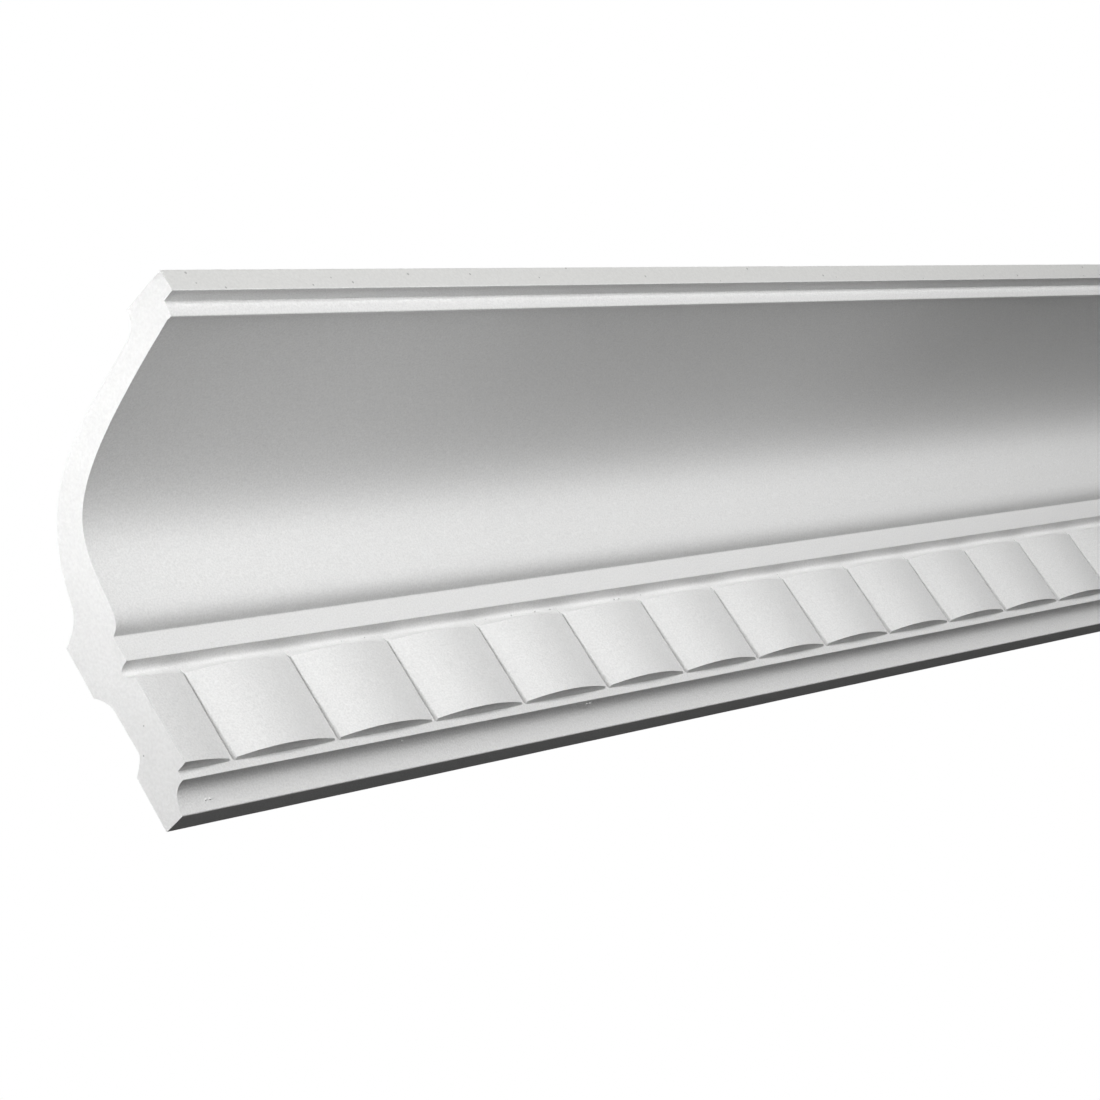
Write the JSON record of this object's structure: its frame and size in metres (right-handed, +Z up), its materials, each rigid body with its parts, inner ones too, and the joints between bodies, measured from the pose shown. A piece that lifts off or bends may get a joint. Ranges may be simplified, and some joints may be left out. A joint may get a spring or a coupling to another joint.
{
  "type": "cornice moulding",
  "caption": "Length of white primed cornice moulding with a wide cove, narrow fillets and a band of pillow blocks above its foot, cut square at both ends.",
  "frame": {"origin": "on the lower wall pad, at the middle of its height and of the moulding's length", "axes": "+X along the length, +Y into the wall, +Z up to the ceiling; the moulded face looks to -Y"},
  "size_m": [0.9744, 0.126, 0.15],
  "materials": {
    "white_primer": "matt white primer over a cast surface"
  },
  "bodies": {
    "root": {"cornice_moulding": "white_primer"}
  },
  "joints": []
}
